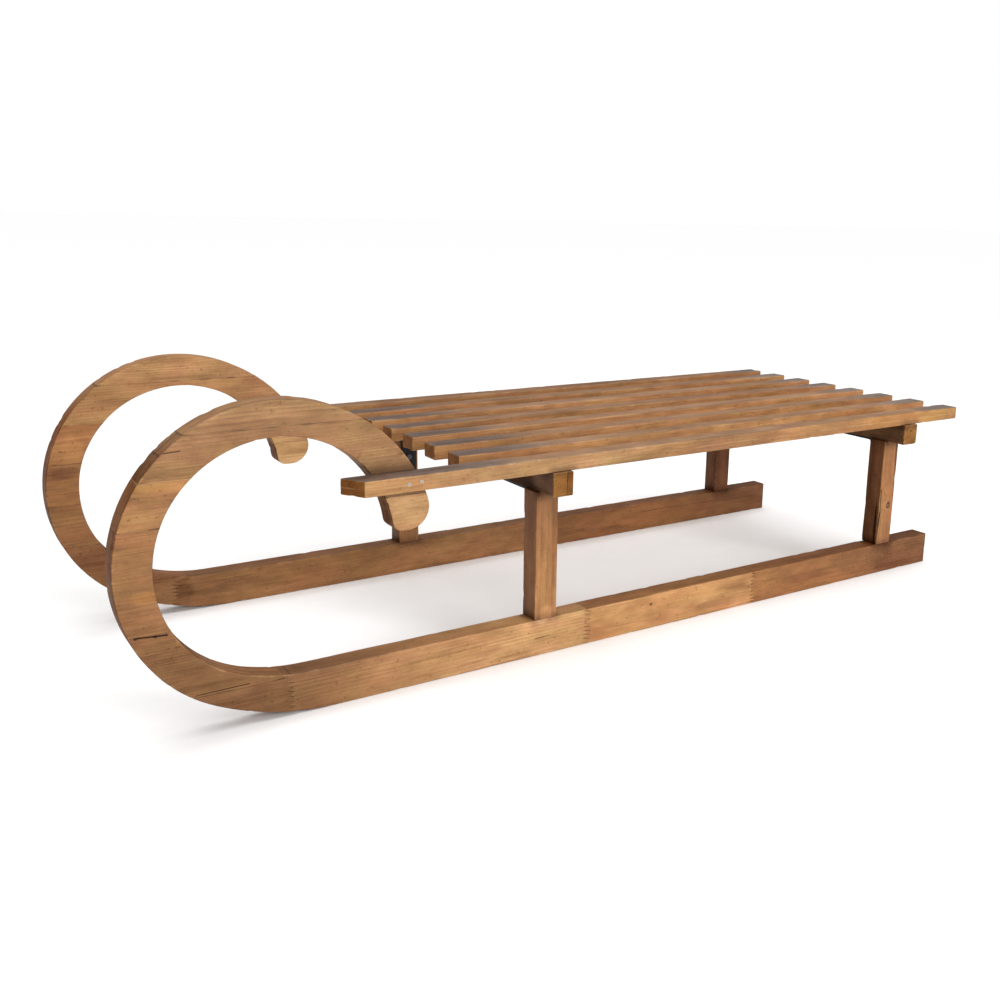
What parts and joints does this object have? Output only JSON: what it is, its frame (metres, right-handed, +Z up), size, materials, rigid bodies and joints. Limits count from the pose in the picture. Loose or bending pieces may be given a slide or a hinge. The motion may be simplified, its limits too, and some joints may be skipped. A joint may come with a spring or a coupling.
{
  "type": "toboggan",
  "caption": "Slatted wooden toboggan: two runners that curl up into ring-shaped horns, upright posts, cross beams and a flat seat of long parallel slats.",
  "frame": {"origin": "on the ground, under the middle of the sled's overall box", "axes": "+X forward to the horns, +Y to the rider's left, +Z up"},
  "size_m": [1.151, 0.434, 0.324],
  "materials": {
    "horn_wood": "satin",
    "runner_wood": "satin",
    "frame_wood": "satin",
    "slat_wood": "satin",
    "black_steel": "satin",
    "dark_screw": "satin",
    "bright_screw": "satin",
    "hidden_screw": "satin"
  },
  "bodies": {
    "root": {"bracket_screws": "dark_screw", "front_beam": "frame_wood", "front_slat_screws": "hidden_screw", "horn_screws": "bright_screw", "left_bar_1": "runner_wood", "left_bar_2": "runner_wood", "left_bar_3": "runner_wood", "left_front_bracket": "black_steel", "left_front_post": "frame_wood", "left_horn_board_1": "horn_wood", "left_horn_board_2_front": "horn_wood", "left_horn_board_2_rear": "horn_wood", "left_horn_board_3_front": "horn_wood", "left_horn_board_3_rear": "horn_wood", "left_horn_board_4": "horn_wood", "left_horn_board_5": "horn_wood", "left_horn_foot": "horn_wood", "left_rear_bracket": "black_steel", "left_rear_post": "frame_wood", "post_screws": "hidden_screw", "rear_beam": "frame_wood", "rear_slat_screws": "hidden_screw", "right_bar_1": "runner_wood", "right_bar_2": "runner_wood", "right_front_bracket": "black_steel", "right_front_post": "frame_wood", "right_horn_board_1": "horn_wood", "right_horn_board_2": "horn_wood", "right_horn_board_3_front": "horn_wood", "right_horn_board_3_rear": "horn_wood", "right_horn_board_4_front": "horn_wood", "right_horn_board_4_rear": "horn_wood", "right_horn_board_5": "horn_wood", "right_horn_board_6": "horn_wood", "right_horn_foot": "horn_wood", "right_rear_bracket": "black_steel", "right_rear_post": "frame_wood", "slat_1": "slat_wood", "slat_2": "slat_wood", "slat_3": "slat_wood", "slat_4": "slat_wood", "slat_5": "slat_wood", "slat_6": "slat_wood", "slat_7": "slat_wood", "slat_8": "slat_wood"}
  },
  "joints": []
}
